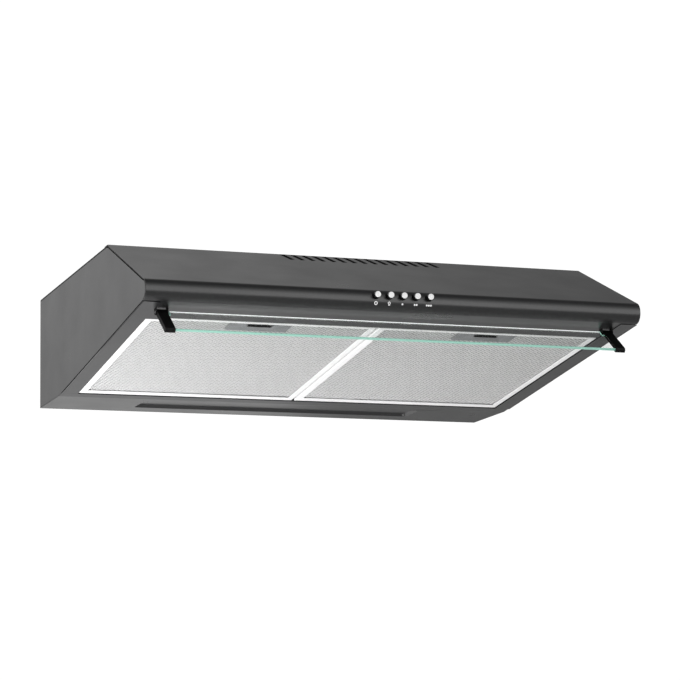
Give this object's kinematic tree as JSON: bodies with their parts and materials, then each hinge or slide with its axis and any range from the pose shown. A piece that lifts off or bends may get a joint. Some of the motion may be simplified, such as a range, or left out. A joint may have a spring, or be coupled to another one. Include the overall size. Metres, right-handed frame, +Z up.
{
  "type": "under cabinet range hood",
  "caption": "Slim under-cabinet range hood in black painted steel with folding glass visor, mesh grease filters, push buttons, vent slots and a top duct collar.",
  "frame": {"origin": "centre of the four cabinet screw holes, on the top face of the body", "axes": "+Z up out of the top face into the cabinet, +Y towards the wall, so the front faces -Y, +X along the hood to the viewer's right"},
  "size_m": [0.598, 0.519, 0.17],
  "materials": {
    "black_paint": "satin",
    "frame_aluminium": "satin",
    "mesh_aluminium": "expanded mesh, satin",
    "plate_grey": "satin",
    "black_plastic": "semi-matte",
    "spring_steel": "bright",
    "green_glass": "polished, green edge",
    "white_cap": "gloss",
    "switch_plastic": "matte",
    "zinc_steel": "zinc plated",
    "blower_plastic": "matte",
    "wheel_plastic": "matte",
    "motor_steel": "satin",
    "rubber": "matte",
    "capacitor_plastic": "matte",
    "lamp_plastic": "matte",
    "lamp_glass": "frosted",
    "black_screw": "satin"
  },
  "bodies": {
    "hood": {"top_shell": "black_paint", "left_side": "black_paint", "right_side": "black_paint", "front_panel": "black_paint", "rear_panel": "black_paint", "hinge_bracket_left": "black_plastic", "hinge_bracket_right": "black_plastic", "spring_off": "spring_steel", "spring_light": "spring_steel", "spring_low": "spring_steel", "spring_medium": "spring_steel", "spring_high": "spring_steel", "hinge_pins": "spring_steel", "shutter_guides": "spring_steel", "switch_housing": "switch_plastic", "switch_base": "switch_plastic", "switch_bracket": "zinc_steel", "motor_bracket": "zinc_steel", "inner_screws": "zinc_steel", "blower_casing_left": "blower_plastic", "blower_casing_right": "blower_plastic", "inlet_guard": "blower_plastic", "air_channel": "blower_plastic", "outlet_collar": "blower_plastic", "terminal_box": "blower_plastic", "terminal_cover": "blower_plastic", "cable_gland": "blower_plastic", "motor": "motor_steel", "motor_grommets": "rubber", "capacitor": "capacitor_plastic", "lamp_holder": "lamp_plastic", "lamp_bulb": "lamp_glass", "case_screws": "black_screw"},
    "filter_left": {"filter_frame_left": "frame_aluminium", "face_mesh_left": "mesh_aluminium", "core_mesh_left": "mesh_aluminium", "back_mesh_left": "mesh_aluminium", "handle_plate_left": "plate_grey", "latch_spring_left": "spring_steel"},
    "filter_right": {"filter_frame_right": "frame_aluminium", "face_mesh_right": "mesh_aluminium", "core_mesh_right": "mesh_aluminium", "back_mesh_right": "mesh_aluminium", "handle_plate_right": "plate_grey", "latch_spring_right": "spring_steel"},
    "catch_left": {"latch_left": "black_plastic"},
    "catch_right": {"latch_right": "black_plastic"},
    "visor": {"visor_glass": "green_glass", "visor_arm_left": "black_plastic", "visor_arm_right": "black_plastic"},
    "key_off": {"button_off": "white_cap"},
    "key_light": {"button_light": "white_cap"},
    "key_low": {"button_low": "white_cap"},
    "key_medium": {"button_medium": "white_cap"},
    "key_high": {"button_high": "white_cap"},
    "wheel": {"impeller": "wheel_plastic", "motor_shaft": "spring_steel"},
    "damper_front": {"flap_front": "wheel_plastic"},
    "damper_rear": {"flap_rear": "wheel_plastic"},
    "shutter": {"vent_shutter": "zinc_steel"}
  },
  "joints": [
    {"name": "filter_left_swing", "type": "hinge", "parent": "hood", "child": "filter_left", "pos_m": [-0.1398, 0.06334, -0.1354], "axis": [1, 0, 0], "range_deg": [0, 60]},
    {"name": "latch_left_slide", "type": "slide", "parent": "filter_left", "child": "catch_left", "axis": [0, -0.9934, 0.1149], "range_m": [0, 0.0046], "deforming": ["latch_spring_left"]},
    {"name": "filter_right_swing", "type": "hinge", "parent": "hood", "child": "filter_right", "pos_m": [0.1398, 0.06334, -0.1354], "axis": [1, 0, 0], "range_deg": [0, 60]},
    {"name": "latch_right_slide", "type": "slide", "parent": "filter_right", "child": "catch_right", "axis": [0, -0.9934, 0.1149], "range_m": [0, 0.0046], "deforming": ["latch_spring_right"]},
    {"name": "visor_swing", "type": "hinge", "parent": "hood", "child": "visor", "pos_m": [0, -0.29503, -0.10138], "axis": [1, 0, 0], "range_deg": [0, 134]},
    {"name": "press_off", "type": "slide", "parent": "hood", "child": "key_off", "axis": [0, 1, 0], "range_m": [0, 0.004], "stiffness_N_per_m": 250, "springref_m": -0.002, "deforming": ["spring_off"]},
    {"name": "press_light", "type": "slide", "parent": "hood", "child": "key_light", "axis": [0, 1, 0], "range_m": [0, 0.004], "stiffness_N_per_m": 250, "springref_m": -0.002, "deforming": ["spring_light"]},
    {"name": "press_low", "type": "slide", "parent": "hood", "child": "key_low", "axis": [0, 1, 0], "range_m": [0, 0.004], "stiffness_N_per_m": 250, "springref_m": -0.002, "deforming": ["spring_low"]},
    {"name": "press_medium", "type": "slide", "parent": "hood", "child": "key_medium", "axis": [0, 1, 0], "range_m": [0, 0.004], "stiffness_N_per_m": 250, "springref_m": -0.002, "deforming": ["spring_medium"]},
    {"name": "press_high", "type": "slide", "parent": "hood", "child": "key_high", "axis": [0, 1, 0], "range_m": [0, 0.004], "stiffness_N_per_m": 250, "springref_m": -0.002, "deforming": ["spring_high"]},
    {"name": "wheel_spin", "type": "hinge", "parent": "hood", "child": "wheel", "pos_m": [0, 0.109, -0.077], "axis": [1, 0, 0], "continuous": true},
    {"name": "damper_front_swing", "type": "hinge", "parent": "hood", "child": "damper_front", "pos_m": [0, 0.077, 0.0106], "axis": [-1, 0, 0], "range_deg": [0, 80]},
    {"name": "damper_rear_swing", "type": "hinge", "parent": "hood", "child": "damper_rear", "pos_m": [0, 0.083, 0.0106], "axis": [1, 0, 0], "range_deg": [0, 80]},
    {"name": "shutter_slide", "type": "slide", "parent": "hood", "child": "shutter", "axis": [1, 0, 0], "range_m": [0, 0.0065]}
  ]
}
